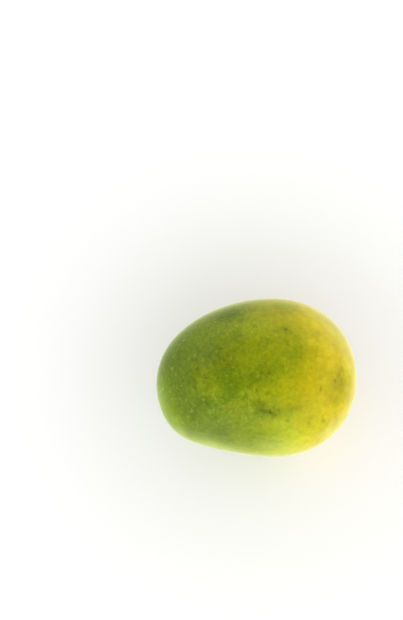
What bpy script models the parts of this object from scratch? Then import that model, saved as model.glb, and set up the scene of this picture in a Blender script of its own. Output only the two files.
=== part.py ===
"""A ripening himsagar mango that lies on its cheek, with the dry stub of its stalk.

Metres, +Z up. The mango stands on z = 0 and its box is centred on the origin. +X points to the broad
stem end and -X to the narrow tip, +Y to the rounded back edge and -Y to the belly edge with its sinus.
"""

import math

import bmesh
import bpy
from mathutils import Vector

# The fruit's three measures, as an egg shape before its hollows are pressed in
LENGTH = 0.0930
BREADTH = 0.0750
THICKNESS = 0.0660

# Both ends are blunter than an ellipse's, and the stem end is broader than the tip
SHOULDER_SWELL = 0.088
END_FULLNESS = 0.074

# The tip droops towards the belly edge
TIP_DROOP = 0.0007

# Places on the fruit are a turn from the stem end, seen from above, and a lift above its middle plane.
# A swelling or a hollow has a width, the angle in radians at which it has faded to about a third.
SINUS_TURN = math.radians(252)
SINUS_DEPTH = 0.0022
SINUS_WIDTH = 0.45
BEAK_TURN = math.radians(214)
BEAK_HEIGHT = 0.0016
BEAK_WIDTH = 0.35

# The stalk sits askew, towards the back edge, in a shallow hollow with a level seat
STALK_TURN = math.radians(25)
STALK_LIFT = math.radians(-14)
HOLLOW_DEPTH = 0.0022
HOLLOW_WIDTH = 0.20
SEAT_RADIUS = 0.0042
SEAT_BLEND = 0.0040

# The cheek that the mango lies on is pressed flat by this much
REST_DEPTH = 0.0011

# The stub's outline, radius and height above the seat, from its broken top down to its root
SEAT_GAP = 0.0003
STUB_PROFILE = [
    (0.0, 0.0056),
    (0.0012, 0.0056),
    (0.0021, 0.0053),
    (0.0026, 0.0047),
    (0.0026, 0.0040),
    (0.0024, 0.0030),
    (0.0025, 0.0020),
    (0.0029, 0.0012),
    (0.0035, 0.0008),
    (0.0037, 0.0005),
    (0.0034, SEAT_GAP),
    (0.0, SEAT_GAP),
]
STUB_SIDES = 20

# The skin's net of faces, with its rings drawn closer together round the stalk
NET_SEGMENTS = 64
NET_RINGS = 46
RING_CROWDING = 0.35

# Corners closer than this become one: on the skin, and on the stub's axis
SKIN_MERGE = 0.0001
STUB_MERGE = 0.00001

# Linear colours and roughness of the satin skin and of the dry stalk
SKIN_COLOUR = (0.27, 0.32, 0.03)
SKIN_ROUGHNESS = 0.42
STALK_COLOUR = (0.075, 0.070, 0.035)
STALK_ROUGHNESS = 0.80


def direction(turn, lift=0.0):
    """The unit direction from the fruit's middle to a place on it."""
    return Vector((math.cos(lift) * math.cos(turn), math.cos(lift) * math.sin(turn), math.sin(lift)))


BEAK = direction(BEAK_TURN)
STALK = direction(STALK_TURN, STALK_LIFT)


def soft_patch(towards, centre, width):
    """1 at the middle of a round patch of skin, fading smoothly to 0 around it."""
    return math.exp(-((towards.angle(centre) / width) ** 2))


def belly_band(towards):
    """1 on the belly edge at the sinus, fading along the edge and towards both cheeks."""
    from_sinus = math.remainder(math.atan2(towards.y, towards.x) - SINUS_TURN, math.tau)
    return math.exp(-((from_sinus / SINUS_WIDTH) ** 2)) * (1 - towards.z**2)


def outward(towards):
    """The way the skin faces, taken from the plain ellipsoid."""
    return Vector((towards.x / LENGTH, towards.y / BREADTH, towards.z / THICKNESS)).normalized()


def skin_point(towards):
    """Where the skin lies in a direction from the fruit's middle, before the seat and the resting spot."""
    x, y, z = towards
    girth = 1 + SHOULDER_SWELL * x + END_FULLNESS * x * x
    droop = TIP_DROOP * ((1 - x) / 2) ** 2
    point = Vector((LENGTH / 2 * x, BREADTH / 2 * y * girth - droop, THICKNESS / 2 * z * girth))
    relief = (
        BEAK_HEIGHT * soft_patch(towards, BEAK, BEAK_WIDTH)
        - SINUS_DEPTH * belly_band(towards)
        - HOLLOW_DEPTH * soft_patch(towards, STALK, HOLLOW_WIDTH)
    )
    return point + outward(towards) * relief


SEAT_CENTRE = skin_point(STALK)
STALK_AXIS = outward(STALK)


def levelled_at_seat(point):
    """The skin point, moved along the stalk's axis onto the level seat if it is close to the stalk."""
    offset = point - SEAT_CENTRE
    height = offset.dot(STALK_AXIS)
    across = (offset - STALK_AXIS * height).length
    if offset.length > 2 * (SEAT_RADIUS + SEAT_BLEND):
        return point
    fade = min(1.0, max(0.0, (across - SEAT_RADIUS) / SEAT_BLEND))
    return point - STALK_AXIS * height * (1 - fade * fade * (3 - 2 * fade))


def plain_material(name, colour, roughness):
    """A non-metal finish in one colour."""
    material = bpy.data.materials.new(name)
    material.use_nodes = True
    shader = material.node_tree.nodes["Principled BSDF"]
    shader.inputs["Base Color"].default_value = (*colour, 1.0)
    shader.inputs["Roughness"].default_value = roughness
    shader.inputs["Metallic"].default_value = 0.0
    return material


def make_fruit(collection):
    """The whole fruit: a sphere's net, its pole at the stalk, shaped to the skin and cut level below."""
    bm = bmesh.new()
    bmesh.ops.create_uvsphere(bm, u_segments=NET_SEGMENTS, v_segments=NET_RINGS, radius=1.0)
    pole_to_stalk = STALK.to_track_quat("Z", "Y")
    for vertex in bm.verts:
        polar = math.acos(max(-1.0, min(1.0, vertex.co.z)))
        crowded = polar * (1 - RING_CROWDING) + RING_CROWDING * polar * polar / math.pi
        around = math.atan2(vertex.co.y, vertex.co.x)
        towards = Vector(
            (math.sin(crowded) * math.cos(around), math.sin(crowded) * math.sin(around), math.cos(crowded))
        )
        vertex.co = levelled_at_seat(skin_point(pole_to_stalk @ towards))

    rest_level = min(vertex.co.z for vertex in bm.verts) + REST_DEPTH
    bmesh.ops.bisect_plane(
        bm,
        geom=bm.verts[:] + bm.edges[:] + bm.faces[:],
        dist=SKIN_MERGE / 10,
        plane_co=(0.0, 0.0, rest_level),
        plane_no=(0.0, 0.0, -1.0),
        clear_outer=True,
    )
    bmesh.ops.remove_doubles(bm, verts=bm.verts, dist=SKIN_MERGE)
    rim = [edge for edge in bm.edges if edge.is_boundary]
    for vertex in {vertex for edge in rim for vertex in edge.verts}:
        vertex.co.z = rest_level
    spot = bmesh.ops.contextual_create(bm, geom=rim)["faces"]
    bmesh.ops.recalc_face_normals(bm, faces=bm.faces)
    for face in bm.faces:
        face.smooth = face not in spot

    mesh = bpy.data.meshes.new("fruit")
    bm.to_mesh(mesh)
    bm.free()
    mesh.materials.append(plain_material("mango_skin", SKIN_COLOUR, SKIN_ROUGHNESS))
    fruit = bpy.data.objects.new("fruit", mesh)
    collection.objects.link(fruit)
    return fruit, rest_level


def make_stem(collection):
    """The dry stub: its outline turned about its own axis, standing on the seat."""
    points = [(radius, 0.0, height) for radius, height in STUB_PROFILE]
    edges = [(i, i + 1) for i in range(len(points) - 1)]
    mesh = bpy.data.meshes.new("stem")
    mesh.from_pydata(points, edges, [])
    mesh.materials.append(plain_material("dry_stalk", STALK_COLOUR, STALK_ROUGHNESS))
    stem = bpy.data.objects.new("stem", mesh)
    stem.location = SEAT_CENTRE
    stem.rotation_euler = STALK_AXIS.to_track_quat("Z", "Y").to_euler()
    collection.objects.link(stem)
    turn = stem.modifiers.new("turned_outline", "SCREW")
    turn.axis = "Z"
    turn.steps = STUB_SIDES
    turn.render_steps = STUB_SIDES
    turn.use_merge_vertices = True
    turn.merge_threshold = STUB_MERGE
    return stem


def world_box(pieces):
    """The lowest and highest corners of the pieces as they are evaluated."""
    graph = bpy.context.evaluated_depsgraph_get()
    corners = []
    for piece in pieces:
        solid = piece.evaluated_get(graph)
        corners += [solid.matrix_world @ vertex.co for vertex in solid.data.vertices]
    low = Vector([min(corner[axis] for corner in corners) for axis in range(3)])
    high = Vector([max(corner[axis] for corner in corners) for axis in range(3)])
    return low, high


def main():
    for leftover in list(bpy.data.objects):
        bpy.data.objects.remove(leftover, do_unlink=True)
    collection = bpy.data.collections.new("himsagar_mango")
    bpy.context.scene.collection.children.link(collection)

    fruit, rest_level = make_fruit(collection)
    stem = make_stem(collection)

    mango = bpy.data.objects.new("mango_place", None)
    collection.objects.link(mango)
    for piece in (fruit, stem):
        piece.parent = mango
    bpy.context.view_layer.update()
    low, high = world_box((fruit, stem))
    mango.location = (-(low.x + high.x) / 2, -(low.y + high.y) / 2, -rest_level)
    bpy.context.view_layer.update()


main()
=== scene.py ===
import math

import bmesh
import bpy
from mathutils import Matrix, Vector, noise


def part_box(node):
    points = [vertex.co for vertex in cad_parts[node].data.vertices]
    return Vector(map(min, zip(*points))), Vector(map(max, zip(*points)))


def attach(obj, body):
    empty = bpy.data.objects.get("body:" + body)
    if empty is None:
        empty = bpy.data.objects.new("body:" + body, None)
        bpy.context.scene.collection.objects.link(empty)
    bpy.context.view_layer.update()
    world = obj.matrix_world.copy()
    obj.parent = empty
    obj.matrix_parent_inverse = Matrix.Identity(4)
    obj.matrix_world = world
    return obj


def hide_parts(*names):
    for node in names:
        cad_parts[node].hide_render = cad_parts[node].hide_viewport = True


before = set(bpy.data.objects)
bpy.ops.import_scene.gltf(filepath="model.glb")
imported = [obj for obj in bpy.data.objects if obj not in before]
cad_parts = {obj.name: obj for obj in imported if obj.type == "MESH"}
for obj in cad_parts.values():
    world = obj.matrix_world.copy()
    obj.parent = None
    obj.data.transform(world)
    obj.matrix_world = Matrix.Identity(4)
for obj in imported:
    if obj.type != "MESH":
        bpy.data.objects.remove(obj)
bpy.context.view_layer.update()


# The fruit: one berry, whose thick waxy skin, flesh and stone grew as a single piece. It is an egg shape,
# broad at the stalk and drooping a little at the tip, and pressed in along its belly edge up to a slight
# beak. It lies on its cheek, where the taut skin gives way to a small level spot.

# The shape as the solid has it: sizes in metres, swellings as shares of the girth, and places and widths
# as turns round the fruit
LENGTH = 0.0930
BREADTH = 0.0750
THICKNESS = 0.0660
SHOULDER_SWELL = 0.088
END_FULLNESS = 0.074
TIP_DROOP = 0.0007
SINUS_TURN = math.radians(252)
SINUS_DEPTH = 0.0022
SINUS_WIDTH = 0.45
BEAK_TURN = math.radians(214)
BEAK_HEIGHT = 0.0016
BEAK_WIDTH = 0.35
STALK_TURN = math.radians(25)
STALK_LIFT = math.radians(-14)
HOLLOW_DEPTH = 0.0022
HOLLOW_WIDTH = 0.20
SEAT_RADIUS = 0.0042
SEAT_BLEND = 0.0040

# The skin is levelled for the seat no further than this turn, in radians, from the stalk
SEAT_LIMIT = 1.0

# Soft unevenness of the skin, always inwards: broad swells, small dimples, and puckers in the stem hollow
SWELL_SIZE = 0.024
SWELL_DEPTH = 0.00040
DIMPLE_SIZE = 0.0060
DIMPLE_DEPTH = 0.00006
PUCKER_SIZE = 0.0026
PUCKER_DEPTH = 0.00040

# How fine the skin's net is, round the stalk and from the stalk to the far end
SKIN_SEGMENTS = 336
SKIN_RINGS = 264

# What a node tree's named inputs and outputs may be
SOCKET_KINDS = {
    "number": "NodeSocketFloat",
    "count": "NodeSocketInt",
    "vector": "NodeSocketVector",
    "shape": "NodeSocketGeometry",
    "material": "NodeSocketMaterial",
}


class Wire:
    """What comes out of a node. Arithmetic on wires adds Math nodes to their tree."""

    def __init__(self, node, output=0):
        self.tree = node.id_data
        self.socket = node.outputs[output]

    def maths(self, operation, *others):
        inputs = dict(enumerate((self, *others)))
        return Wire(new_node(self.tree, "ShaderNodeMath", inputs, operation=operation))

    def vector(self, operation, *others, output="Vector"):
        inputs = dict(enumerate((self, *others)))
        return Wire(new_node(self.tree, "ShaderNodeVectorMath", inputs, operation=operation), output)

    def scaled(self, factor):
        inputs = {"Vector": self, "Scale": factor}
        return Wire(new_node(self.tree, "ShaderNodeVectorMath", inputs, operation="SCALE"))

    def dot(self, other):
        return self.vector("DOT_PRODUCT", other, output="Value")

    def length(self):
        return self.vector("LENGTH", output="Value")

    def parts(self):
        split = new_node(self.tree, "ShaderNodeSeparateXYZ", {"Vector": self})
        return [Wire(split, axis) for axis in "XYZ"]

    def bell(self, width):
        """1 where the wire is 0, fading to about a third at the width."""
        share = self / width
        return (share * share * -1).maths("EXPONENT")

    def between(self, low, high):
        """0 up to the low value and 1 from the high one, with a smooth rise between them."""
        inputs = {"Value": self, "From Min": low, "From Max": high}
        return Wire(new_node(self.tree, "ShaderNodeMapRange", inputs, interpolation_type="SMOOTHSTEP"))

    def __add__(self, other):
        return self.maths("ADD", other)

    def __sub__(self, other):
        return self.maths("SUBTRACT", other)

    def __rsub__(self, other):
        return (self * -1) + other

    def __mul__(self, other):
        return self.maths("MULTIPLY", other)

    def __truediv__(self, other):
        return self.maths("DIVIDE", other)

    __radd__ = __add__
    __rmul__ = __mul__


def fill_input(node, place, value):
    """Puts a plain value on a node's input, or runs a wire to it."""
    if isinstance(value, Wire):
        node.id_data.links.new(value.socket, node.inputs[place])
    else:
        node.inputs[place].default_value = value


def new_node(tree, kind, inputs, **settings):
    """A node with its settings and what goes into it."""
    node = tree.nodes.new(kind)
    for name, value in settings.items():
        setattr(node, name, value)
    for place, value in inputs.items():
        fill_input(node, place, value)
    return node


def new_tree(kind, name, inputs, outputs):
    """A node tree with named inputs and outputs, the wires that come in by name, and its end node."""
    tree = bpy.data.node_groups.new(name, kind)
    for side, sockets in (("INPUT", inputs), ("OUTPUT", outputs)):
        for label, socket_kind in sockets.items():
            tree.interface.new_socket(label, in_out=side, socket_type=SOCKET_KINDS[socket_kind])
    start = tree.nodes.new("NodeGroupInput")
    return tree, {label: Wire(start, label) for label in inputs}, tree.nodes.new("NodeGroupOutput")


def made_by(tree, name, values, base=None):
    """A plain mesh object at the origin, as the tree makes it from its named values and a base mesh."""
    rough = bpy.data.objects.new(name, base or bpy.data.meshes.new(name))
    bpy.context.scene.collection.objects.link(rough)
    modifier = rough.modifiers.new("nodes", "NODES")
    modifier.node_group = tree
    for item in tree.interface.items_tree:
        if item.in_out == "INPUT" and item.name in values:
            modifier[item.identifier] = values[item.name]
    graph = bpy.context.evaluated_depsgraph_get()
    mesh = bpy.data.meshes.new_from_object(rough.evaluated_get(graph), depsgraph=graph)
    bpy.data.objects.remove(rough)
    piece = bpy.data.objects.new(name, mesh)
    bpy.context.scene.collection.objects.link(piece)
    return piece


def clouds(place, size, detail=2.0, roughness=0.5, seed=0.0):
    """A soft random number about 0.5 that changes over about a size in metres."""
    inputs = {"Vector": place, "W": seed, "Scale": 1 / size, "Detail": detail, "Roughness": roughness}
    return Wire(new_node(place.tree, "ShaderNodeTexNoise", inputs, noise_dimensions="4D"))


def fruit_tree():
    """A sphere's net, moved point by point to the skin's shape."""
    numbers = (
        "Length", "Breadth", "Thickness", "Shoulder Swell", "End Fullness", "Tip Droop",
        "Sinus Turn", "Sinus Depth", "Sinus Width", "Beak Height", "Beak Width",
        "Hollow Depth", "Hollow Width", "Seat Radius", "Seat Blend",
        "Swell Depth", "Dimple Depth", "Pucker Depth",
    )
    inputs = dict.fromkeys(numbers, "number")
    inputs |= dict.fromkeys(("Net Turn", "Beak", "Stalk", "Stalk Axis", "Seat Centre"), "vector")
    inputs |= {"Segments": "count", "Rings": "count", "Skin": "material"}
    tree, given, end = new_tree("GeometryNodeTree", "fruit_shape", inputs, {"Fruit": "shape"})

    counts = {"Segments": given["Segments"], "Rings": given["Rings"], "Radius": 1.0}
    net = new_node(tree, "GeometryNodeMeshUVSphere", counts)
    mapped = new_node(
        tree,
        "GeometryNodeStoreNamedAttribute",
        {"Geometry": Wire(net, "Mesh"), "Name": "OFBake", "Value": Wire(net, "UV Map")},
        data_type="FLOAT2",
        domain="CORNER",
    )
    turned = new_node(
        tree, "GeometryNodeTransform", {"Geometry": Wire(mapped), "Rotation": given["Net Turn"]}
    )

    towards = Wire(new_node(tree, "GeometryNodeInputPosition", {}))
    x, y, z = towards.parts()
    girth = 1 + given["Shoulder Swell"] * x + given["End Fullness"] * x * x
    far = (1 - x) / 2
    along = given["Length"] / 2 * x
    across = given["Breadth"] / 2 * y * girth - given["Tip Droop"] * far * far
    upward = given["Thickness"] / 2 * z * girth
    egg = Wire(new_node(tree, "ShaderNodeCombineXYZ", {"X": along, "Y": across, "Z": upward}))
    measures = {"X": given["Length"], "Y": given["Breadth"], "Z": given["Thickness"]}
    spans = Wire(new_node(tree, "ShaderNodeCombineXYZ", measures))
    outward = towards.vector("DIVIDE", spans).vector("NORMALIZE")

    from_beak = towards.dot(given["Beak"]).maths("ARCCOSINE")
    from_stalk = towards.dot(given["Stalk"]).maths("MINIMUM", 1.0).maths("ARCCOSINE")
    from_sinus = (y.maths("ARCTAN2", x) - given["Sinus Turn"]).maths("WRAP", math.pi, -math.pi)
    hollow = from_stalk.bell(given["Hollow Width"])
    relief = (
        given["Beak Height"] * from_beak.bell(given["Beak Width"])
        - given["Sinus Depth"] * from_sinus.bell(given["Sinus Width"]) * (1 - z * z)
        - given["Hollow Depth"] * hollow
        - given["Swell Depth"] * clouds(egg, SWELL_SIZE, detail=1.0)
        - given["Dimple Depth"] * clouds(egg, DIMPLE_SIZE, seed=3.0)
        - given["Pucker Depth"] * hollow * clouds(egg, PUCKER_SIZE, seed=5.0)
    )
    skin = egg.vector("ADD", outward.scaled(relief))

    # Close to the stalk, the skin is moved along the stalk's axis onto the level seat
    offset = skin.vector("SUBTRACT", given["Seat Centre"])
    height = offset.dot(given["Stalk Axis"])
    aside = offset.vector("SUBTRACT", given["Stalk Axis"].scaled(height)).length()
    rim = given["Seat Radius"] + given["Seat Blend"]
    near = (1 - aside.between(given["Seat Radius"], rim)) * from_stalk.maths("LESS_THAN", SEAT_LIMIT)
    seated = skin.vector("SUBTRACT", given["Stalk Axis"].scaled(height * near))

    moved = new_node(tree, "GeometryNodeSetPosition", {"Geometry": Wire(turned), "Position": seated})
    smooth = new_node(tree, "GeometryNodeSetShadeSmooth", {"Geometry": Wire(moved)})
    real = new_node(tree, "GeometryNodeRealizeInstances", {"Geometry": Wire(smooth)})
    clad = {"Geometry": Wire(real), "Material": given["Skin"]}
    fill_input(end, "Fruit", Wire(new_node(tree, "GeometryNodeSetMaterial", clad)))
    return tree


def direction(turn, lift=0.0):
    """The unit direction from the fruit's middle to a place on it."""
    return Vector((math.cos(lift) * math.cos(turn), math.cos(lift) * math.sin(turn), math.sin(lift)))


BEAK = direction(BEAK_TURN)
STALK = direction(STALK_TURN, STALK_LIFT)
STALK_AXIS = Vector((STALK.x / LENGTH, STALK.y / BREADTH, STALK.z / THICKNESS)).normalized()
stalk_girth = 1 + SHOULDER_SWELL * STALK.x + END_FULLNESS * STALK.x**2
stalk_foot = Vector(
    (
        LENGTH / 2 * STALK.x,
        BREADTH / 2 * STALK.y * stalk_girth - TIP_DROOP * ((1 - STALK.x) / 2) ** 2,
        THICKNESS / 2 * STALK.z * stalk_girth,
    )
)
seat_centre = stalk_foot - STALK_AXIS * HOLLOW_DEPTH

# The net's pole is at the stalk, and its seam runs along the underside
seam = (Vector((0, 0, -1)) + STALK * STALK.z).normalized()
net_turn = Matrix((seam, STALK.cross(seam), STALK)).transposed().to_euler()

skin = bpy.data.materials.new("mango_skin")
fruit_values = {
    "Segments": SKIN_SEGMENTS, "Rings": SKIN_RINGS, "Net Turn": net_turn, "Skin": skin,
    "Length": LENGTH, "Breadth": BREADTH, "Thickness": THICKNESS,
    "Shoulder Swell": SHOULDER_SWELL, "End Fullness": END_FULLNESS, "Tip Droop": TIP_DROOP,
    "Sinus Turn": SINUS_TURN, "Sinus Depth": SINUS_DEPTH, "Sinus Width": SINUS_WIDTH,
    "Beak": BEAK, "Beak Height": BEAK_HEIGHT, "Beak Width": BEAK_WIDTH,
    "Stalk": STALK, "Stalk Axis": STALK_AXIS, "Seat Centre": seat_centre,
    "Hollow Depth": HOLLOW_DEPTH, "Hollow Width": HOLLOW_WIDTH,
    "Seat Radius": SEAT_RADIUS, "Seat Blend": SEAT_BLEND,
    "Swell Depth": SWELL_DEPTH, "Dimple Depth": DIMPLE_DEPTH, "Pucker Depth": PUCKER_DEPTH,
}
fruit = made_by(fruit_tree(), "mango_fruit", fruit_values)

# The skin is laid just inside the solid, and what would reach below the resting spot is pressed level
SKIN_INSET = 0.00005
corners = [vertex.co for vertex in fruit.data.vertices]
low = Vector([min(corner[axis] for corner in corners) for axis in range(3)])
high = Vector([max(corner[axis] for corner in corners) for axis in range(3)])
solid_low, solid_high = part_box("fruit")
to_frame = (solid_low + solid_high - low - high) / 2
to_frame.z = solid_high.z - SKIN_INSET - high.z
fruit.data.transform(Matrix.Translation(to_frame))
for vertex in fruit.data.vertices:
    vertex.co.z = max(vertex.co.z, solid_low.z)
seat_centre = seat_centre + to_frame


def shown(red, green, blue):
    """The linear colour of a shade that a screen shows with these parts from 0 to 255."""
    parts = [part / 255 for part in (red, green, blue)]
    return (*[p / 12.92 if p <= 0.04045 else ((p + 0.055) / 1.055) ** 2.4 for p in parts], 1.0)


def tinted(share, under, over):
    """A colour with a share of another laid over it."""
    # A Mix node has its colours at inputs 6 and 7, and puts out the mixed one at 2
    node = new_node(share.tree, "ShaderNodeMix", {0: share, 6: under, 7: over}, data_type="RGBA")
    return Wire(node, 2)


def ramped(share, shades):
    """The colour at a share of the way along a row of shades, whose places run from 0 to 1."""
    ramp = new_node(share.tree, "ShaderNodeValToRGB", {"Fac": share})
    stops = ramp.color_ramp.elements
    for place, shade in shades[1:-1]:
        stops.new(place).color = shade
    stops[0].color = shades[0][1]
    stops[-1].color = shades[-1][1]
    return Wire(ramp, "Color")


def strayed(place, size, reach):
    """The place, moved about within a reach, in a random way that changes over about a size."""
    stray = Wire(new_node(place.tree, "ShaderNodeTexNoise", {"Vector": place, "Scale": 1 / size}), "Color")
    return place.vector("ADD", stray.vector("SUBTRACT", (0.5, 0.5, 0.5)).scaled(reach))


def drift(place, **cloud):
    """A soft random number about 0, made from a cloud's size, detail, roughness and seed."""
    return clouds(place, **cloud) - 0.5


def soft_patch_group():
    """A mask for one soft spot: 1 at its middle and fading to about a third at its reach."""
    inputs = {"Place": "vector", "Middle": "vector", "Reach": "vector", "Turn": "number"}
    inputs |= {"Hardness": "number"}
    tree, given, end = new_tree("ShaderNodeTree", "soft_patch", inputs, {"Mask": "number"})
    offset = given["Place"].vector("SUBTRACT", given["Middle"])
    spin = {"Vector": offset, "Angle": given["Turn"]}
    turned = Wire(new_node(tree, "ShaderNodeVectorRotate", spin, rotation_type="Z_AXIS"))
    away = turned.vector("DIVIDE", given["Reach"]).length()
    fading = away.maths("POWER", given["Hardness"]) * -1
    fill_input(end, "Mask", fading.maths("EXPONENT"))
    return tree


# A dot's radius is the given one times the smallest size and up to the growth more. Its core is as strong
# as it gets, and the faintest dots have this share of full strength.
SMALLEST_DOT = 0.6
DOT_GROWTH = 0.8
DOT_CORE = 0.3
FAINTEST_DOT = 0.3


def dots_group():
    """A mask for small round dots, scattered about a spacing apart, some of them fainter."""
    inputs = {"Place": "vector", "Spacing": "number", "Radius": "number"}
    tree, given, end = new_tree("ShaderNodeTree", "dots", inputs, {"Mask": "number"})
    per_metre = given["Spacing"].maths("POWER", -1.0)
    cells = new_node(tree, "ShaderNodeTexVoronoi", {"Vector": given["Place"], "Scale": per_metre})
    away = Wire(cells, "Distance") * given["Spacing"]
    strength, size = Wire(cells, "Color").parts()[:2]
    radius = given["Radius"] * (size * DOT_GROWTH + SMALLEST_DOT)
    dot = 1 - away.between(radius * DOT_CORE, radius)
    fill_input(end, "Mask", dot * (strength * (1 - FAINTEST_DOT) + FAINTEST_DOT))
    return tree


SOFT_PATCH = soft_patch_group()
DOTS = dots_group()


def patch(place, middle, reach, turn=0.0, hardness=2.0):
    """The mask of one soft patch, its middle and reach in millimetres and its turn in degrees."""
    inputs = {
        "Place": place,
        "Middle": [part / 1000 for part in middle],
        "Reach": [part / 1000 for part in reach],
        "Turn": math.radians(-turn),
        "Hardness": hardness,
    }
    return Wire(new_node(place.tree, "ShaderNodeGroup", inputs, node_tree=SOFT_PATCH), "Mask")


def with_patches(base, place, patches):
    """A wire with soft patches added to it, each by its own amount."""
    for middle, reach, turn, amount in patches:
        base = base + patch(place, middle, reach, turn) * amount
    return base


def dots(place, spacing, radius):
    """The mask of small round dots, about a spacing apart."""
    inputs = {"Place": place, "Spacing": spacing, "Radius": radius}
    return Wire(new_node(place.tree, "ShaderNodeGroup", inputs, node_tree=DOTS), "Mask")


# From leaf green through olive to gold, as the skin ripens from the tip to the stalk
RIPENING = [
    (0.00, shown(76, 95, 4)),
    (0.20, shown(88, 106, 5)),
    (0.40, shown(106, 119, 6)),
    (0.60, shown(128, 134, 9)),
    (0.80, shown(152, 144, 8)),
    (1.00, shown(174, 155, 12)),
]

# How ripe the skin is over the fruit's middle at this height, and how much riper it gets for each metre
# along, across and upwards
RIPENESS_AT_MIDDLE = 0.56
RIPENESS_HEIGHT = 0.050
RIPENESS_PER_METRE = (13.8, 2.2, -3.6)

# Places that ripen early or late: middle and reach in millimetres, turn in degrees, and how much
EARLY_AND_LATE = [
    ((39.5, -12, 50), (13, 6.5, 14), 72, -0.25),
    ((-10, 25, 55), (8, 5, 10), 10, -0.32),
    ((4, -24, 57), (9, 3, 9), -3, -0.20),
    ((3.2, -24.1, 57.3), (4, 1.5, 4), -19, 0.12),
    ((-4, -10, 63), (20, 5, 12), 20, -0.17),
    ((17, 3, 63), (6, 8, 9), 24, -0.17),
    ((-25, -4, 58), (6, 8, 9), 10, 0.14),
    ((-26, -18, 53), (6, 5, 9), 0, -0.10),
    ((-17, -29, 46), (9, 3.5, 9), 0, -0.17),
    ((29, -29, 44), (8, 2.5, 8), 3, -0.13),
    ((-14, -5, 63), (3.5, 3.5, 6), 0, -0.12),
    ((-8, 13, 61), (3.5, 3, 6), 0, -0.10),
    ((15, -14, 61), (7, 6, 7), 20, 0.11),
    ((5, -35, 43), (11, 4, 7), 0, -0.18),
    ((-23, -14, 57), (5, 4, 6), 0, 0.27),
    ((36, -19, 48), (5, 5, 7), 0, 0.08),
    ((28, 10, 60), (5, 5, 6), 0, -0.07),
    ((15.5, 12, 62), (4.5, 3, 6), 0, -0.14),
    ((27, -18, 57), (5, 4, 6), 0, 0.07),
    ((34, -27, 41), (6, 6, 7), 0, 0.09),
    ((18, 26, 54), (6, 4, 6), 0, -0.13),
    ((33, 1, 57), (4, 4, 6), 0, 0.09),
    ((-2, -31, 48), (8, 4, 6), 0, -0.08),
    ((-5, -1, 64), (5, 4, 6), 0, 0.08),
    ((-38, -19, 41), (5, 5, 6), 0, 0.16),
    ((20, 30, 20), (20, 16, 16), 0, 0.16),
    ((30, -20, 8), (16, 16, 12), 0, 0.14),
    ((-30, 16, 22), (12, 14, 16), 0, -0.12),
    ((42, 18, 22), (9, 9, 9), 0, -0.26),
    ((18, 36, 34), (10, 6, 8), 20, -0.16),
    ((-8, 34, 18), (16, 8, 10), -10, 0.12),
    ((4, -30, 12), (18, 10, 8), 0, -0.12),
]

# Places with a paler or deeper tone: middle and reach in millimetres, turn, and how much light they add.
# Some are the skin's own tone, and some are painted light: the paler ones along the lower, left and right
# edges paint the light that these edges catch.
TONES_AND_PAINTED_LIGHT = [
    # Painted light: these five lighten the lower and left edges, where they catch the light
    ((-39, -22, 35), (8, 4.5, 7), -50, 0.38),
    ((-20, -32.5, 31), (16, 4, 8), -16, 0.40),
    ((9, -37, 36), (15, 4.5, 9), 2, 0.38),
    ((-44, -9, 39), (5, 12, 9), 20, 0.55),
    ((14, -33, 46), (11, 4.5, 9), 4, 0.20),
    ((9, -28, 54), (9, 4, 8), 0, 0.16),
    ((-3, 14, 62), (15, 5, 8), 0, 0.27),
    ((24, 18, 57), (7, 5, 8), -40, 0.27),
    # Painted light on the left edge
    ((-41.5, -4.5, 45), (4, 7, 7), 10, 0.21),
    ((-7, -18, 60), (5, 4, 7), 0, 0.15),
    ((-21, -14, 58), (6, 4, 7), -12, 0.17),
    ((-27, 14, 54), (6, 5, 8), 0, 0.11),
    # Partly the skin's deep green, partly painted shade near the top
    ((-9, 25, 55), (5, 3, 8), 20, -0.16),
    ((29, 3, 59), (6, 8, 8), 10, 0.16),
    ((-23, 3, 60), (7, 6, 8), 0, -0.18),
    ((-31, -4, 56), (4, 4, 6), 0, -0.15),
    ((-20, -28.5, 46), (7, 4, 7), -10, -0.20),
    ((36, -11, 52), (10, 6.5, 12), 72, -0.09),
    ((33.5, -11, 55), (4, 5, 6), 20, -0.13),
    ((39.5, -8.4, 50.3), (1.8, 2.6, 5), 0, 0.16),
    ((14, -22.5, 58), (4.5, 2.8, 6), 0, -0.22),
    # Painted light on the right edge
    ((44, 0, 45), (5, 16, 12), 0, 0.12),
    ((11, 2, 64), (6, 6, 8), 0, 0.06),
    ((21, -9, 62), (4, 4, 6), 0, 0.04),
    ((34, 11, 54), (4, 6, 6), 0, 0.07),
    ((-13, -33, 39), (6, 4, 7), 0, -0.20),
    ((-24, -14.5, 57), (4, 4, 6), 0, -0.24),
    ((-33.5, -25.5, 39.5), (4, 4, 6), 0, -0.27),
    ((22, -14, 60), (4, 4, 6), 0, -0.09),
    ((27, -20, 56), (4, 4, 6), 0, 0.07),
    # Painted light on the lower right edge
    ((33, -28, 38), (11, 5, 6), 45, 0.05),
    ((31, -25, 47), (4, 4, 5), 0, -0.11),
    ((18, 10, 63), (4, 4, 5), 0, 0.10),
    # Painted light on the lower left and left edges, these two
    ((-26, -30, 34), (10, 5, 6), -16, 0.08),
    ((-44.5, -8.5, 38), (2.5, 8, 8), 0, 0.18),
    ((1, -20, 60), (4, 3, 6), 0, -0.08),
    ((-10, -1, 64), (4, 4, 6), 0, -0.09),
    ((21, 1, 63), (3.5, 4, 6), 0, -0.08),
    ((-3, 7, 64), (4, 3, 6), 0, -0.08),
]

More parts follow.
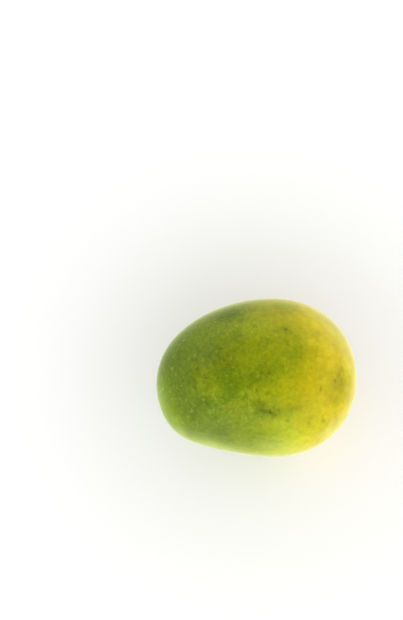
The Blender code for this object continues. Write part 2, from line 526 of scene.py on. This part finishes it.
# Small scuffs and nicks, given in the same way
SCUFFS = [
    ((3.6, -24.5, 57.0), (2.7, 1.0, 4), -22, -0.37),
    ((5.6, -25.2, 56.5), (1.4, 1.0, 4), -10, -0.17),
    ((0.5, -23.4, 57.6), (2.4, 0.9, 4), -14, -0.40),
    ((-2.4, -22.6, 57.7), (1.8, 0.9, 4), 0, -0.12),
    ((7.4, -23.9, 57.5), (1.1, 0.9, 3), 0, -0.30),
    ((4.3, -26.2, 55.6), (0.9, 1.0, 3), 10, -0.26),
    ((-1.5, -19.5, 59.8), (1.4, 1.0, 4), 0, -0.32),
    ((0.2, -20.9, 59.2), (2.0, 1.2, 4), -20, -0.28),
    ((-4.2, -20.2, 58.9), (2.4, 1.2, 5), 0, -0.14),
    ((33.8, -11.0, 55.1), (0.8, 0.8, 3), 0, -0.31),
    ((35.6, -8.2, 54.5), (0.6, 1.6, 3), -25, -0.16),
    ((33.0, -13.7, 54.7), (1.2, 0.7, 3), 0, -0.14),
    ((31.7, -12.8, 56.0), (1.0, 0.8, 3), 0, -0.08),
    ((38.1, -5.4, 52.8), (1.2, 1.2, 3), 0, -0.10),
    ((26.8, -15.2, 57.7), (0.45, 1.7, 3), -20, -0.32),
    ((13.5, 12.5, 62.5), (1.1, 0.9, 3), 0, -0.40),
    ((14.9, 10.8, 63), (2.2, 1.6, 5), -40, -0.14),
    ((3.8, -8.0, 64.4), (0.8, 0.8, 3), 0, -0.34),
    ((27.5, -27.2, 48.1), (1.5, 0.7, 3), 10, -0.22),
    ((20.6, -28.9, 50.2), (0.9, 0.9, 3), 0, -0.26),
]

# Where the pale bloom hasn't been rubbed off, or at the last place has been: middle and reach in
# millimetres, turn, and share. Those along the lower, left and right edges are also painted reflection,
# the pale light that these edges reflect.
BLOOM_AND_PAINTED_REFLECTION = [
    ((35, 17, 47), (16, 5, 10), -60, 0.36),
    ((-22, 5, 58), (8, 6, 9), 10, 0.03),
    ((-17, -28, 46), (12, 5, 9), -12, 0.04),
    ((43, -4, 44), (4, 18, 12), 0, 0.08),
    ((33, 10, 55), (4, 6, 6), 0, 0.07),
    ((4, -36, 38), (22, 5, 10), 2, 0.10),
    ((-36, -25, 35), (16, 6, 9), -36, 0.17),
    ((33, -28, 38), (11, 5, 7.5), 45, 0.18),
    ((-26, -30, 34), (12, 5, 6), -16, 0.11),
    ((-44.5, -10, 37), (3, 6, 8), 0, 0.06),
    ((42, -8, 48), (4, 4, 6), 0, -0.06),
]

# A thin film of bloom covers the fruit low down, and fades out between these two heights. It is also
# painted reflection, lightening the lower flanks. All the bloom is uneven: it has at least the first
# share of its strength, and up to the second more.
FILM_OF_BLOOM_AND_REFLECTION = 0.015
FILM_FADES = (0.030, 0.056)
THIN_BLOOM = 0.4
BLOOM_SWELL = 0.8

# The specks stand out in one place and are faint in two more: middle and reach in millimetres. Bloom and
# painted reflection of these thicknesses veil them, from not at all to as much as they can.
PEPPERED = ((-24, -16, 56), (9, 8, 9))
PEPPER = 0.7
CALM_FLANK = ((1, -28, 52), (14, 6, 9))
CALM_TIP = ((-41, -9, 43), (5, 7, 9))
CALM = 0.55
VEILING_BLOOM = (0.02, 0.14)
VEIL = 0.6

# The tiny scar of the flower's style, at the beak, and the stain round it, in millimetres
TIP_SCAR = (-38.4, -21.4, 25.2)
TIP_SCAR_REACH = (1.2, 1.2, 1.2)
TIP_SCAR_HARDNESS = 4.0
TIP_SCAR_STRENGTH = 0.85
TIP_STAIN_REACH = (3.6, 3.6, 3.6)
TIP_STAIN_STRENGTH = 0.35

# The cork and the stain in the stem hollow each fade out between two distances from the seat's middle,
# along an edge that is ragged by about this much
CORK_FADES = (0.0038, 0.0062)
CORK_STRENGTH = 0.85
STAIN_FADES = (0.0050, 0.0120)
STAIN_STRENGTH = 0.30
RAGGEDNESS = 0.0022

# The edges of the patches stray within a reach, and over a size, so that none is a neat oval
STIR_SIZE = 0.009
STIR_REACH = 0.007
FRAY_SIZE = 0.0022
SCUFF_REACH = 0.0015
FRAY_REACH = 0.0007

# The skin's clouds, each about as coarse as its size in metres
BROAD_CLOUDS = {"size": 0.013, "seed": 1.0}
SMALL_CLOUDS = {"size": 0.0045, "detail": 3.0, "roughness": 0.6, "seed": 2.0}
FINE_CLOUDS = {"size": 0.0014, "roughness": 0.6, "seed": 3.0}
DEEP_CLOUDS = {"size": 0.0032, "detail": 4.0, "roughness": 0.65, "seed": 4.0}
RUSSET_CLOUDS = {"size": 0.0050, "detail": 3.0, "seed": 13.0}
CROWD_CLOUDS = {"size": 0.010, "detail": 1.0, "seed": 7.0}
SPECKLE_CLOUDS = {"size": 0.0020, "detail": 3.0, "roughness": 0.65, "seed": 11.0}
GILT_CLOUDS = {"size": 0.0070, "detail": 3.0, "roughness": 0.6, "seed": 21.0}
BLOOM_CLOUDS = {"size": 0.018, "seed": 6.0}
RAGGED_CLOUDS = {"size": 0.0015, "seed": 9.0}
GRAIN_CLOUDS = {"size": 0.0008, "seed": 8.0}
CORK_CLOUDS = {"size": 0.0007}

# How much riper or less ripe the clouds make the skin
BROAD_SHIFT = 0.20
SMALL_SHIFT = 0.40
FINE_SHIFT = 0.24

# A cloud shows as a stain from where it rises above the first number, and in full from the second
DEEP_RISE = (0.54, 0.70)
RUSSET_RISE = (0.56, 0.74)
CROWD_RISE = (0.35, 0.65)
BLOOM_RISE = (0.25, 0.70)

# The ripeness at which the skin starts to lose its green, and at which it has lost it
TURNS_GOLD = (0.45, 1.0)

# Deep green stains come up as the skin is further from ripe, and russet ones round one ripeness
DEEP_UNRIPENESS = (0.1, 0.7)
DEEP_STRENGTH = 0.50
RUSSET_RIPENESS = 0.38
RUSSET_SPREAD = 0.22
RUSSET_STRENGTH = 0.18

# Pores of two sizes, and flecks: how far apart, how large, and how strong in the gold and the green
PORE_SPACING = 0.0014
PORE_RADIUS = 0.00040
PORES_WHERE_SPARSE = 0.4
PORES_IN_GOLD = 0.08
PORES_ADDED_IN_GREEN = 0.14
LARGE_PORE_SPACING = 0.0023
LARGE_PORE_RADIUS = 0.00085
LARGE_PORE_STRENGTH = 0.20
LARGE_PORES_IN_GOLD = 0.2
FLECK_SPACING = 0.0034
FLECK_RADIUS = 0.00042
FLECK_STRENGTH = 0.28

# How much the speckle and the gilding change the tone. Blue falls faster than the rest as it deepens.
SPECKLE_IN_GOLD = 0.34
SPECKLE_ADDED_IN_GREEN = 0.60
GILDING = 1.10
BLUE_POWER = 3.0

# The wax's roughness and what each thing adds to it, and how far each stands up or is sunk in the relief
WAX_ROUGHNESS = 0.34
ADDED_ROUGHNESS = {"clouds": 0.12, "bloom_and_reflection": 0.30, "cork": 0.35, "scar": 0.3}
RELIEF = {"grain": 0.5, "pores": 0.6, "large pores": 0.8, "cork": 3, "scar": -4}
RELIEF_HEIGHT = 0.00005

# The shades of deep green, pores, bloom and its painted reflection, russet, flecks, dark marks and cork
GREEN_SHADE = shown(56, 78, 0)
PORE_SHADE = shown(156, 174, 78)
BLOOM_AND_REFLECTION_SHADE = shown(208, 215, 146)
RUSSET_SHADE = shown(150, 118, 14)
FLECK_SHADE = shown(104, 78, 14)
MARK_SHADE = shown(46, 52, 6)
CORK_SHADE = shown(84, 72, 34)


def finish_skin(material):
    """A waxy, satin skin with pores, cloudy mottling, pale bloom on its flanks, and small marks, with
    painted light and reflection along its edges.
    """
    material.use_nodes = True
    tree = material.node_tree
    shader = tree.nodes["Principled BSDF"]
    place = Wire(tree.nodes.new("ShaderNodeTexCoord"), "Object")
    x, y, z = place.parts()
    stirred = strayed(place, STIR_SIZE, STIR_REACH)
    scuffed = strayed(place, FRAY_SIZE, SCUFF_REACH)
    frayed = strayed(place, FRAY_SIZE, FRAY_REACH)

    along, across, upwards = RIPENESS_PER_METRE
    ripeness = RIPENESS_AT_MIDDLE + x * along
    ripeness = ripeness + y * across + (z - RIPENESS_HEIGHT) * upwards
    ripeness = with_patches(ripeness, stirred, EARLY_AND_LATE)
    broad = drift(stirred, **BROAD_CLOUDS)
    cloudy = drift(stirred, **SMALL_CLOUDS)
    fine = drift(place, **FINE_CLOUDS)
    ripeness = ripeness + broad * BROAD_SHIFT + cloudy * SMALL_SHIFT + fine * FINE_SHIFT
    colour = ramped(ripeness, RIPENING)

    # Bloom, and painted reflection: the patches along the edges and the film low down also paint the pale
    # light the edges reflect
    bloom_and_reflection = with_patches((1 - z.between(*FILM_FADES)) * FILM_OF_BLOOM_AND_REFLECTION, stirred, BLOOM_AND_PAINTED_REFLECTION)
    peppered = patch(stirred, *PEPPERED)
    calm = patch(stirred, *CALM_FLANK) + patch(stirred, *CALM_TIP)
    clear = 1 - bloom_and_reflection.between(*VEILING_BLOOM) * VEIL - calm * CALM

    deep = clouds(stirred, **DEEP_CLOUDS).between(*DEEP_RISE)
    unripe = (1 - ripeness).between(*DEEP_UNRIPENESS)
    colour = tinted(deep * DEEP_STRENGTH * unripe, colour, GREEN_SHADE)
    russet = clouds(stirred, **RUSSET_CLOUDS).between(*RUSSET_RISE)
    turning = (ripeness - RUSSET_RIPENESS).bell(RUSSET_SPREAD)
    colour = tinted(russet * turning * clear * RUSSET_STRENGTH, colour, RUSSET_SHADE)

    green = 1 - ripeness.between(*TURNS_GOLD)
    crowd = clouds(place, **CROWD_CLOUDS).between(*CROWD_RISE)
    crowded = PORES_WHERE_SPARSE + crowd * (1 - PORES_WHERE_SPARSE)
    pores = dots(place, PORE_SPACING, PORE_RADIUS) * crowded * clear
    large_pores = dots(stirred, LARGE_PORE_SPACING, LARGE_PORE_RADIUS) * clear
    small = pores * (PORES_IN_GOLD + green * PORES_ADDED_IN_GREEN)
    shown_large = LARGE_PORES_IN_GOLD + green * (1 - LARGE_PORES_IN_GOLD)
    large = large_pores * LARGE_PORE_STRENGTH * shown_large
    colour = tinted(small + large, colour, PORE_SHADE)
    flecks = dots(scuffed, FLECK_SPACING, FLECK_RADIUS) * (1 - green)
    colour = tinted(flecks * FLECK_STRENGTH, colour, FLECK_SHADE)

    speckle = drift(place, **SPECKLE_CLOUDS) * (clear + peppered * PEPPER)
    tone = 1 + speckle * (SPECKLE_IN_GOLD + green * SPECKLE_ADDED_IN_GREEN)
    tone = tone + drift(scuffed, **GILT_CLOUDS) * (1 - green) * GILDING
    # These tones bring in the painted light along the fruit's edges and some painted shade near the top
    tone = with_patches(tone, scuffed, TONES_AND_PAINTED_LIGHT)
    tone = with_patches(tone, frayed, SCUFFS)
    blue_tone = tone.maths("POWER", BLUE_POWER)
    deepening = new_node(tree, "ShaderNodeCombineXYZ", {"X": tone, "Y": tone, "Z": blue_tone})
    colour = colour.vector("MULTIPLY", Wire(deepening))

    patchy = clouds(place, **BLOOM_CLOUDS).between(*BLOOM_RISE)
    # The pale colour laid over here is bloom and painted reflection at the edges
    colour = tinted(bloom_and_reflection * (THIN_BLOOM + patchy * BLOOM_SWELL), colour, BLOOM_AND_REFLECTION_SHADE)

    scar = patch(scuffed, TIP_SCAR, TIP_SCAR_REACH, hardness=TIP_SCAR_HARDNESS)
    colour = tinted(patch(scuffed, TIP_SCAR, TIP_STAIN_REACH) * TIP_STAIN_STRENGTH, colour, CORK_SHADE)
    colour = tinted(scar * TIP_SCAR_STRENGTH, colour, MARK_SHADE)

    from_seat = place.vector("SUBTRACT", seat_centre).length()
    ragged = from_seat + drift(place, **RAGGED_CLOUDS) * RAGGEDNESS
    cork = 1 - ragged.between(*CORK_FADES)
    stain = 1 - ragged.between(*STAIN_FADES)
    colour = tinted(stain * STAIN_STRENGTH, colour, MARK_SHADE)
    colour = tinted(cork * CORK_STRENGTH, colour, CORK_SHADE)
    fill_input(shader, "Base Color", colour)

    roughness = WAX_ROUGHNESS + cloudy * ADDED_ROUGHNESS["clouds"] + bloom_and_reflection * ADDED_ROUGHNESS["bloom_and_reflection"]
    roughness = roughness + cork * ADDED_ROUGHNESS["cork"] + scar * ADDED_ROUGHNESS["scar"]
    fill_input(shader, "Roughness", roughness)
    relief = clouds(place, **GRAIN_CLOUDS) * RELIEF["grain"]
    relief = relief + pores * RELIEF["pores"] + large_pores * RELIEF["large pores"]
    relief = relief + cork * clouds(place, **CORK_CLOUDS) * RELIEF["cork"] + scar * RELIEF["scar"]
    bump = new_node(tree, "ShaderNodeBump", {"Height": relief, "Distance": RELIEF_HEIGHT})
    fill_input(shader, "Normal", Wire(bump))
    shader.inputs["Specular IOR Level"].default_value = 0.06
    shader.inputs["Sheen Weight"].default_value = 1.0
    shader.inputs["Sheen Roughness"].default_value = 0.30
    shader.inputs["Sheen Tint"].default_value = shown(240, 244, 196)


finish_skin(skin)
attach(fruit, "root")
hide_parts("fruit")


# The stub of the stalk: what is left of the dry wooden stalk that the fruit hung from. It widens to a
# scarred collar where it grew out of the fruit, and ends in a swollen knuckle, torn across its fibres.

# Its outline, radius and height above the seat, from the middle of the torn end down to the root
STUB_OUTLINE = [
    (0.0003, 0.0047),
    (0.0009, 0.0048),
    (0.0016, 0.0052),
    (0.0021, 0.0053),
    (0.0024, 0.0050),
    (0.0026, 0.0045),
    (0.0025, 0.0039),
    (0.0023, 0.0031),
    (0.0024, 0.0022),
    (0.0028, 0.0014),
    (0.0034, 0.0009),
    (0.0037, 0.0005),
    (0.0038, 0.0000),
    (0.0036, -0.0005),
]

# How fine its net is: sides round it, and steps between two points of the outline
STUB_SIDES = 96
STUB_STEPS = 4

# Furrows run down the stub and wander aside, by an angle that changes with the height
FURROWS = 11
FURROW_DEPTH = 0.00020
FURROW_WANDER = 3.0
FURROW_BENDS_PER_METRE = 300

# Leaf scars stand out in a ring just above the seat
SCARS = 3
SCAR_HEIGHT = 0.0013
SCAR_REACH = 0.0006
SCAR_SWELL = 0.00028

# Creases cover the bark, and fade towards the middle of the torn end. Their pattern is a fractal with a
# dimension, a lacunarity and a number of octaves.
BARK_CREASE = 0.00013
CREASES_PER_METRE = 1600
CREASE_FRACTAL = (0.8, 2.0, 3)
BARK_RADIUS = 0.0020

# The end is torn above this height, in coarse and fine steps
TORN_TOP = 0.0044
TORN_RISE = 0.0004
TORN_STEP = 0.00022
COARSE_TEARS_PER_METRE = 1100
FINE_TEARS_PER_METRE = 3000
FINE_TEAR_SHARE = 0.5

# Fibres stand on the torn end where it faces up. Each is a thin cone that leans by up to this angle, and its
# two widths and its length are between the smallest and the largest share of the plain ones.
TORN_FACING = 0.3
FIBRES_PER_SQUARE_METRE = 2.4e7
FIBRE_LENGTH = 0.00032
FIBRE_RADIUS = 0.00006
FIBRE_SIDES = 5
FIBRE_TAPER = 0.7
FIBRE_LEAN = 0.3
SMALLEST_FIBRE = (0.6, 0.6, 0.3)
LARGEST_FIBRE = (1.6, 1.6, 1.5)
FIBRE_SEED = 4


def outline_point(share):
    """The radius and height at a share of the way down the stub's outline, on a smooth curve."""
    span = min(int(share), len(STUB_OUTLINE) - 2)
    part = share - span
    before, here, after, beyond = [
        STUB_OUTLINE[min(max(span + step, 0), len(STUB_OUTLINE) - 1)] for step in (-1, 0, 1, 2)
    ]
    point = []
    for a, b, c, d in zip(before, here, after, beyond):
        bend = (2 * b, c - a, 2 * a - 5 * b + 4 * c - d, 3 * b - a - 3 * c + d)
        point.append(sum(factor * part**power for power, factor in enumerate(bend)) / 2)
    return point


def stub_point(radius, height, turn):
    """A point on the stub: its outline with furrows, leaf scars, creases and a torn top."""
    around = Vector((math.cos(turn), math.sin(turn), height * FURROW_BENDS_PER_METRE))
    wander = noise.noise(around) * FURROW_WANDER
    furrow = 0.5 + 0.5 * math.cos(FURROWS * turn + wander)
    scar_ring = math.exp(-(((height - SCAR_HEIGHT) / SCAR_REACH) ** 2))
    scar = scar_ring * max(0.0, math.cos(SCARS * turn)) ** 2
    at = Vector((radius * math.cos(turn), radius * math.sin(turn), height))
    crease = noise.fractal(at * CREASES_PER_METRE, *CREASE_FRACTAL)
    body = min(1.0, radius / BARK_RADIUS)
    grown = radius + body * (SCAR_SWELL * scar - FURROW_DEPTH * furrow + BARK_CREASE * crease)
    torn = max(0.0, min(1.0, (height - TORN_TOP) / TORN_RISE))
    tears = noise.noise(at * COARSE_TEARS_PER_METRE)
    tears += FINE_TEAR_SHARE * noise.noise(at * FINE_TEARS_PER_METRE)
    lift = torn * TORN_STEP * tears
    return Vector((grown * math.cos(turn), grown * math.sin(turn), height + lift))


def stub_body():
    """The stub's skin as a closed mesh, standing on its seat, with its grain kept in an attribute."""
    bm = bmesh.new()
    steps = (len(STUB_OUTLINE) - 1) * STUB_STEPS
    rings = []
    for step in range(steps + 1):
        radius, height = outline_point(step / STUB_STEPS)
        turns = [math.tau * side / STUB_SIDES for side in range(STUB_SIDES)]
        rings.append([bm.verts.new(stub_point(radius, height, turn)) for turn in turns])
    for upper, lower in zip(rings, rings[1:]):
        for side in range(STUB_SIDES):
            after = (side + 1) % STUB_SIDES
            bm.faces.new((upper[side], lower[side], lower[after], upper[after]))
    bm.faces.new(rings[0])
    bm.faces.new(reversed(rings[-1]))
    bmesh.ops.recalc_face_normals(bm, faces=bm.faces)
    mesh = bpy.data.meshes.new("stub_body")
    bm.to_mesh(mesh)
    bm.free()
    mesh.shade_smooth()
    grain = mesh.attributes.new("grain", "FLOAT_VECTOR", "POINT")
    for vertex, stored in zip(mesh.vertices, grain.data):
        stored.vector = vertex.co
    return mesh


def torn_fibres_tree():
    """Short stiff fibres, scattered over the torn end of the stub and leaning every way."""
    inputs = {"Stub": "shape", "Torn Height": "number", "Density": "number", "Length": "number"}
    inputs |= {"Radius": "number", "Seed": "count", "Bark": "material"}
    tree, given, end = new_tree("GeometryNodeTree", "torn_fibres", inputs, {"Stub": "shape"})
    height = Wire(new_node(tree, "GeometryNodeInputPosition", {})).parts()[2]
    facing = Wire(new_node(tree, "GeometryNodeInputNormal", {})).parts()[2]
    torn = height.maths("GREATER_THAN", given["Torn Height"]) * facing.maths("GREATER_THAN", TORN_FACING)
    scattered = new_node(
        tree,
        "GeometryNodeDistributePointsOnFaces",
        {"Mesh": given["Stub"], "Selection": torn, "Density": given["Density"], "Seed": given["Seed"]},
    )
    cone = new_node(
        tree,
        "GeometryNodeMeshCone",
        {"Vertices": FIBRE_SIDES, "Radius Top": given["Radius"] * FIBRE_TAPER,
         "Radius Bottom": given["Radius"], "Depth": given["Length"]},
    )
    lean = new_node(
        tree,
        "FunctionNodeRandomValue",
        {0: (-FIBRE_LEAN, -FIBRE_LEAN, 0.0), 1: (FIBRE_LEAN, FIBRE_LEAN, math.tau), "Seed": given["Seed"]},
        data_type="FLOAT_VECTOR",
    )
    reach = new_node(
        tree,
        "FunctionNodeRandomValue",
        {0: SMALLEST_FIBRE, 1: LARGEST_FIBRE, "Seed": given["Seed"] + 1},
        data_type="FLOAT_VECTOR",
    )
    placed = new_node(
        tree,
        "GeometryNodeInstanceOnPoints",
        {"Points": Wire(scattered, "Points"), "Instance": Wire(cone, "Mesh"), "Rotation": Wire(lean),
         "Scale": Wire(reach)},
    )
    joined = tree.nodes.new("GeometryNodeJoinGeometry")
    fill_input(joined, "Geometry", Wire(placed))
    fill_input(joined, "Geometry", given["Stub"])
    real = new_node(tree, "GeometryNodeRealizeInstances", {"Geometry": Wire(joined)})
    clad = {"Geometry": Wire(real), "Material": given["Bark"]}
    fill_input(end, "Stub", Wire(new_node(tree, "GeometryNodeSetMaterial", clad)))
    return tree


# The bark's shades from dark to light, and those of its torn end, its collar and its specks
BARK_SHADES = [
    (0.00, shown(52, 44, 22)),
    (0.35, shown(84, 78, 42)),
    (0.70, shown(116, 110, 64)),
    (1.00, shown(150, 140, 96)),
]
TORN_SHADE = shown(64, 54, 38)
COLLAR_SHADE = shown(74, 82, 26)
SPECK_SHADE = shown(150, 140, 96)

# Streaks are drawn out along the stub, and blotches lie under them
STREAK_STRETCH = (1.0, 1.0, 0.22)
STREAK_CLOUDS = {"size": 0.00035, "detail": 3.0, "roughness": 0.6}
BLOTCH_CLOUDS = {"size": 0.0016, "seed": 2.0}
STREAK_SHARE = 0.7
BLOTCH_SHARE = 0.5
BARK_DEEPENING = 0.1

# The collar's green and the torn end's brown each fade between two heights above the seat, and pale specks
# lie over the bark
COLLAR_FADES = (0.0006, 0.0024)
COLLAR_STRENGTH = 0.55
TORN_FADES = (0.0043, 0.0050)
TORN_STRENGTH = 0.70
SPECK_SPACING = 0.0007
SPECK_RADIUS = 0.00014
SPECK_STRENGTH = 0.5
SPECK_RELIEF = 0.5
BARK_ROUGHNESS = 0.72
BLOTCH_ROUGHNESS = 0.2
BARK_RELIEF = 0.00008


def dry_stalk_material():
    """Dry olive-brown bark, streaked along the stub, greener at its collar and darker where torn."""
    material = bpy.data.materials.new("dry_stalk")
    material.use_nodes = True
    tree = material.node_tree
    shader = tree.nodes["Principled BSDF"]
    grain = Wire(new_node(tree, "ShaderNodeAttribute", {}, attribute_name="grain"), "Vector")
    height = grain.parts()[2]
    streaks = clouds(grain.vector("MULTIPLY", STREAK_STRETCH), **STREAK_CLOUDS)
    blotches = clouds(grain, **BLOTCH_CLOUDS)
    bark = ramped(streaks * STREAK_SHARE + blotches * BLOTCH_SHARE - BARK_DEEPENING, BARK_SHADES)
    torn = height.between(*TORN_FADES)
    collar = 1 - height.between(*COLLAR_FADES)
    specks = dots(grain, SPECK_SPACING, SPECK_RADIUS)
    colour = tinted(collar * COLLAR_STRENGTH, bark, COLLAR_SHADE)
    colour = tinted(specks * SPECK_STRENGTH, colour, SPECK_SHADE)
    colour = tinted(torn * TORN_STRENGTH, colour, TORN_SHADE)
    fill_input(shader, "Base Color", colour)
    fill_input(shader, "Roughness", BARK_ROUGHNESS + blotches * BLOTCH_ROUGHNESS)
    relief = streaks + specks * SPECK_RELIEF
    bump = new_node(tree, "ShaderNodeBump", {"Height": relief, "Distance": BARK_RELIEF})
    fill_input(shader, "Normal", Wire(bump))
    shader.inputs["Specular IOR Level"].default_value = 0.25
    return material


stub_values = {
    "Torn Height": TORN_TOP, "Density": FIBRES_PER_SQUARE_METRE, "Length": FIBRE_LENGTH,
    "Radius": FIBRE_RADIUS, "Seed": FIBRE_SEED, "Bark": dry_stalk_material(),
}
stub = made_by(torn_fibres_tree(), "mango_stub", stub_values, stub_body())
stub.data.transform(STALK_AXIS.to_track_quat("Z", "Y").to_matrix().to_4x4())
stub.data.transform(Matrix.Translation(seat_centre))
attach(stub, "root")
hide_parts("stem")


# The studio: a pale matt floor, and the even glow of a light tent, dim overhead where it is open, and
# brightest on the camera's side.

FLOOR_HALF = 1.5
FLOOR_COLOUR = (0.80, 0.80, 0.79, 1.0)
floor_corners = [(-FLOOR_HALF, -FLOOR_HALF), (FLOOR_HALF, -FLOOR_HALF), (FLOOR_HALF, FLOOR_HALF)]
floor_corners.append((-FLOOR_HALF, FLOOR_HALF))
floor_mesh = bpy.data.meshes.new("floor")
floor_mesh.from_pydata([(*corner, 0.0) for corner in floor_corners], [], [(0, 1, 2, 3)])
floor = bpy.data.objects.new("floor", floor_mesh)
bpy.context.scene.collection.objects.link(floor)
floor_material = bpy.data.materials.new("pale_floor")
floor_material.use_nodes = True
floor_shader = floor_material.node_tree.nodes["Principled BSDF"]
floor_shader.inputs["Base Color"].default_value = FLOOR_COLOUR
floor_shader.inputs["Roughness"].default_value = 0.9
floor_shader.inputs["Specular IOR Level"].default_value = 0.2
floor_mesh.materials.append(floor_material)

# The tent's light at the horizon and overhead, where it opens between two heights of the sky, from 0 to 1
HORIZON_LIGHT = 3.3
OVERHEAD_LIGHT = 0.15
TENT_OPENS = (0.30, 0.90)
FRONT_LIFT = 0.35
world = bpy.data.worlds.new("light_tent")
world.use_nodes = True
sky = world.node_tree
sky_y, sky_z = Wire(sky.nodes.new("ShaderNodeTexCoord"), "Generated").parts()[1:]
tent = 1 - sky_z.between(*TENT_OPENS)
glow = tent * (1 - sky_y * FRONT_LIFT) * (HORIZON_LIGHT - OVERHEAD_LIGHT) + OVERHEAD_LIGHT
background = sky.nodes["Background"]
background.inputs["Color"].default_value = (1.0, 1.0, 1.0, 1.0)
fill_input(background, "Strength", glow)
bpy.context.scene.world = world

# The camera looks down on the fruit, which lies right of and below the middle of the picture
CAMERA_AZIMUTH = math.radians(-4.4)
CAMERA_ELEVATION = math.radians(70)
CAMERA_DISTANCE = 0.7803
CAMERA_AIM = Vector((-0.02293, 0.03143, 0.04327))
camera_data = bpy.data.cameras.new("photo_camera")
camera_data.lens = 98
camera_data.clip_start = 0.01
camera = bpy.data.objects.new("photo_camera", camera_data)
back = Vector(
    (
        math.sin(CAMERA_AZIMUTH) * math.cos(CAMERA_ELEVATION),
        -math.cos(CAMERA_AZIMUTH) * math.cos(CAMERA_ELEVATION),
        math.sin(CAMERA_ELEVATION),
    )
)
camera.location = CAMERA_AIM + back * CAMERA_DISTANCE
camera.rotation_euler = back.to_track_quat("Z", "Y").to_euler()
bpy.context.scene.collection.objects.link(camera)
bpy.context.scene.camera = camera
bpy.context.scene.view_settings.view_transform = "Standard"
